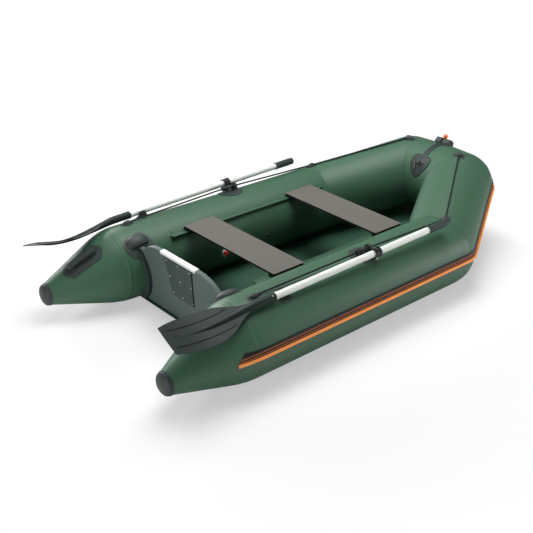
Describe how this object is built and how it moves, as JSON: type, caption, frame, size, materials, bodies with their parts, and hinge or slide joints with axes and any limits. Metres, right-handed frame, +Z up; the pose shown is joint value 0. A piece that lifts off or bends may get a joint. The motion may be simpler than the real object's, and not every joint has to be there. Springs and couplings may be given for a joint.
{
  "type": "inflatable rowing boat",
  "caption": "Inflatable rowing dinghy with side tubes tapering aft, raised bow tube, fabric bottom, wooden transom, bench boards and stowed spoon-bladed oars in swivelling oarlocks",
  "frame": {"origin": "On the ground below the middle of the boat, midway between the aft ends of the tubes and the front of the bow", "axes": "+X forward to the bow, +Y to port, +Z up"},
  "size_m": [2.7894, 1.535, 0.6449],
  "materials": {
    "tube_skin": "satin",
    "dark_grey_plastic": "satin",
    "floor_fabric": "matte",
    "painted_board": "painted",
    "plate_plastic": "matte",
    "aluminium": "satin",
    "grey_pvc": "satin",
    "bench_board": "painted",
    "black_plastic": "satin",
    "strake_black": "satin",
    "strake_orange": "satin",
    "rope_black": "matte",
    "pale_plastic": "satin",
    "orange_plastic": "gloss",
    "blade_plastic": "satin"
  },
  "bodies": {
    "hull": {"anchor_guide": "grey_pvc", "anchor_knob": "orange_plastic", "anchor_lock": "grey_pvc", "anchor_roller": "black_plastic", "bench_brackets_front": "black_plastic", "bench_brackets_rear": "black_plastic", "bench_front": "bench_board", "bench_rail_port": "tube_skin", "bench_rail_starboard": "tube_skin", "bench_rear": "bench_board", "bottom_sheet": "floor_fabric", "carry_handle_port": "grey_pvc", "carry_handle_starboard": "grey_pvc", "cone_cap_port": "dark_grey_plastic", "cone_cap_starboard": "dark_grey_plastic", "grab_line_port": "rope_black", "grab_line_starboard": "rope_black", "motor_plate_inner": "plate_plastic", "motor_plate_outer": "plate_plastic", "oar_clip_port": "grey_pvc", "oar_clip_starboard": "grey_pvc", "oarlock_base_port": "grey_pvc", "oarlock_base_starboard": "grey_pvc", "oarlock_pin_port": "black_plastic", "oarlock_pin_starboard": "black_plastic", "rope_holders_port": "grey_pvc", "rope_holders_starboard": "grey_pvc", "rub_strake_bow": "strake_black", "rub_strake_port": "strake_black", "rub_strake_starboard": "strake_black", "strake_bead_port": "strake_orange", "strake_bead_starboard": "strake_orange", "strap_lug_port": "black_plastic", "strap_lug_starboard": "black_plastic", "tow_patch": "grey_pvc", "tow_ring": "black_plastic", "transom_board": "painted_board", "transom_channel_port": "grey_pvc", "transom_channel_starboard": "grey_pvc", "transom_hood_port": "grey_pvc", "transom_hood_starboard": "grey_pvc", "transom_strip": "aluminium", "tube_bow": "tube_skin", "tube_port": "tube_skin", "tube_starboard": "tube_skin", "valve_cap_port": "orange_plastic", "valve_cap_starboard": "orange_plastic", "valve_ring_port": "pale_plastic", "valve_ring_starboard": "pale_plastic"},
    "oarlock_port": {"oarlock_arm_port": "black_plastic"},
    "oar_port": {"oar_collar_port": "black_plastic", "oar_shaft_port": "aluminium", "oar_grip_port": "black_plastic", "oar_blade_port": "blade_plastic"},
    "oarlock_starboard": {"oarlock_arm_starboard": "black_plastic"},
    "oar_starboard": {"oar_collar_starboard": "black_plastic", "oar_shaft_starboard": "aluminium", "oar_grip_starboard": "black_plastic", "oar_blade_starboard": "blade_plastic"}
  },
  "joints": [
    {"name": "oarlock_dip_port", "type": "hinge", "parent": "hull", "child": "oarlock_port", "pos_m": [-0.0633, 0.57432, 0.45158], "axis": [0.9999, -0.015, 0], "range_deg": [0, 30]},
    {"name": "oar_sweep_port", "type": "hinge", "parent": "oarlock_port", "child": "oar_port", "pos_m": [-0.06228, 0.64221, 0.4532], "axis": [-0.01, -0.6639, -0.7478], "range_deg": [0, 130]},
    {"name": "oarlock_dip_starboard", "type": "hinge", "parent": "hull", "child": "oarlock_starboard", "pos_m": [-0.0633, -0.57432, 0.45158], "axis": [-0.9999, -0.015, 0], "range_deg": [0, 30]},
    {"name": "oar_sweep_starboard", "type": "hinge", "parent": "oarlock_starboard", "child": "oar_starboard", "pos_m": [-0.06228, -0.64221, 0.4532], "axis": [0.01, -0.6639, 0.7478], "range_deg": [0, 130]}
  ]
}
